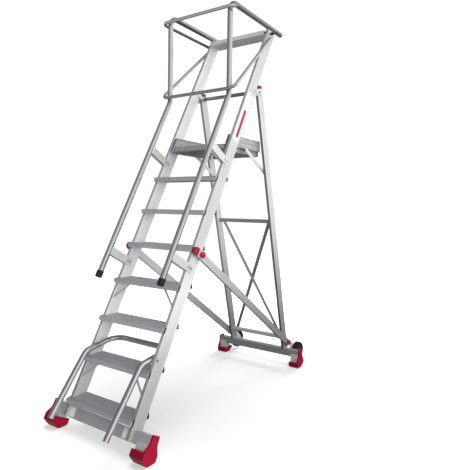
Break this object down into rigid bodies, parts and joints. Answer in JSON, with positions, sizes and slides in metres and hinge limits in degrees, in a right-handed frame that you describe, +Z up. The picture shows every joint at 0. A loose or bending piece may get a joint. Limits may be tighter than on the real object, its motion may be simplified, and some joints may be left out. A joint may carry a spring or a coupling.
{
  "type": "warehouse step ladder",
  "caption": "Folding aluminium warehouse step ladder with ribbed treads, a railed standing platform, handrails, a hinged rear frame with wheels, side stays and red feet.",
  "frame": {"origin": "floor level at the centre of the ladder's footprint, under the middle of its bounding box", "axes": "+Z up, +X to the climber's right, -Y the climbing side; the ladder stands open"},
  "size_m": [0.91, 2.4126, 3.0253],
  "materials": {
    "extrusion": "satin natural extrusion with fine lengthwise lines",
    "tread": "satin extrusion with raised ribs",
    "tube": "smooth drawn tube, satin to bright",
    "plate": "satin flat plate and sheet",
    "chequer": "raised chequer pattern sheet",
    "steel": "zinc-plated",
    "red_plastic": "satin moulded",
    "knob_red": "smooth moulded",
    "black_plastic": "satin moulded",
    "tyre": "matt solid rubber",
    "hub": "moulded grey wheel centre"
  },
  "bodies": {
    "front_frame": {"stile_left": "extrusion", "stile_right": "extrusion", "tread_1": "tread", "tread_2": "tread", "tread_3": "tread", "tread_4": "tread", "tread_5": "tread", "tread_6": "tread", "tread_7": "tread", "top_tread": "tread", "tread_plugs": "black_plastic", "base_bar_front": "extrusion", "base_stubs_front": "plate", "shoe_front_left": "red_plastic", "shoe_front_right": "red_plastic", "handrail_left": "tube", "handrail_right": "tube", "rail_plugs": "black_plastic", "guard_upper": "tube", "guard_lower": "tube", "guard_spacers": "black_plastic", "rail_brackets": "plate", "tread_rods": "steel", "hinge_cheeks": "plate", "frame_bolts": "steel"},
    "rear_frame": {"leg_left": "extrusion", "leg_right": "extrusion", "leg_caps": "red_plastic", "rear_top_tube": "tube", "rear_mid_bar": "tube", "rear_bottom_tube": "tube", "brace_a": "plate", "brace_b": "plate", "base_bar_rear": "extrusion", "base_stubs_rear": "plate", "shoe_rear_left": "red_plastic", "shoe_rear_right": "red_plastic", "wheel_brackets": "plate", "rear_bolts": "steel"},
    "wheel_left": {"tyre_left": "tyre", "hub_left": "hub"},
    "wheel_right": {"tyre_right": "tyre", "hub_right": "hub"},
    "platform": {"platform_deck": "chequer", "platform_frame": "plate", "platform_nosing": "tread", "platform_strips": "black_plastic", "platform_pins": "steel"},
    "strut_left": {"strut_left": "plate"},
    "stay_left": {"stay_left": "extrusion", "stay_caps_left": "red_plastic"},
    "knob_front_left": {"knob_front_left": "knob_red"},
    "knob_rear_left": {"knob_rear_left": "knob_red"},
    "strut_right": {"strut_right": "plate"},
    "stay_right": {"stay_right": "extrusion", "stay_caps_right": "red_plastic"},
    "knob_front_right": {"knob_front_right": "knob_red"},
    "knob_rear_right": {"knob_rear_right": "knob_red"},
    "lift_hoop": {"lift_hoop": "tube"}
  },
  "joints": [
    {"name": "rear_fold", "type": "hinge", "parent": "front_frame", "child": "rear_frame", "pos_m": [0, 0.36914, 2.43237], "axis": [-1, 0, 0], "range_deg": [0, 42.79]},
    {"name": "platform_fold", "type": "hinge", "parent": "front_frame", "child": "platform", "pos_m": [0, -0.02272, 1.95], "axis": [1, 0, 0], "range_deg": [0, 61.5]},
    {"name": "strut_fold_left", "type": "hinge", "parent": "rear_frame", "child": "strut_left", "pos_m": [-0.26925, 0.54827, 1.783], "axis": [-1, 0, 0], "range_deg": [0, 26.2]},
    {"name": "stay_fold_left", "type": "hinge", "parent": "rear_frame", "child": "stay_left", "pos_m": [-0.319, 0.94968, 0.22312], "axis": [-1, 0, 0], "range_deg": [0, 41.7]},
    {"name": "knob_front_pull_left", "type": "slide", "parent": "stay_left", "child": "knob_front_left", "axis": [-1, 0, 0], "range_m": [0, 0.01], "stiffness_N_per_m": 300},
    {"name": "knob_rear_pull_left", "type": "slide", "parent": "stay_left", "child": "knob_rear_left", "axis": [-1, 0, 0], "range_m": [0, 0.01], "stiffness_N_per_m": 300},
    {"name": "wheel_spin_left", "type": "hinge", "parent": "rear_frame", "child": "wheel_left", "pos_m": [-0.35, 1.12128, 0.104], "axis": [1, 0, 0], "continuous": true},
    {"name": "strut_fold_right", "type": "hinge", "parent": "rear_frame", "child": "strut_right", "pos_m": [0.26925, 0.54827, 1.783], "axis": [-1, 0, 0], "range_deg": [0, 26.2]},
    {"name": "stay_fold_right", "type": "hinge", "parent": "rear_frame", "child": "stay_right", "pos_m": [0.319, 0.94968, 0.22312], "axis": [-1, 0, 0], "range_deg": [0, 41.7]},
    {"name": "knob_front_pull_right", "type": "slide", "parent": "stay_right", "child": "knob_front_right", "axis": [1, 0, 0], "range_m": [0, 0.01], "stiffness_N_per_m": 300},
    {"name": "knob_rear_pull_right", "type": "slide", "parent": "stay_right", "child": "knob_rear_right", "axis": [1, 0, 0], "range_m": [0, 0.01], "stiffness_N_per_m": 300},
    {"name": "wheel_spin_right", "type": "hinge", "parent": "rear_frame", "child": "wheel_right", "pos_m": [0.35, 1.12128, 0.104], "axis": [1, 0, 0], "continuous": true},
    {"name": "hoop_swing", "type": "hinge", "parent": "front_frame", "child": "lift_hoop", "pos_m": [0, -0.81973, 0.5238], "axis": [1, 0, 0], "range_deg": [-30, 6]}
  ],
  "couplings": [
    {"joint": "platform_fold", "follows": "rear_fold", "ratio": 1.4326},
    {"joint": "strut_fold_left", "follows": "rear_fold", "ratio": 0.60738},
    {"joint": "stay_fold_left", "follows": "rear_fold", "ratio": 0.96946},
    {"joint": "strut_fold_right", "follows": "rear_fold", "ratio": 0.60738},
    {"joint": "stay_fold_right", "follows": "rear_fold", "ratio": 0.96946}
  ]
}
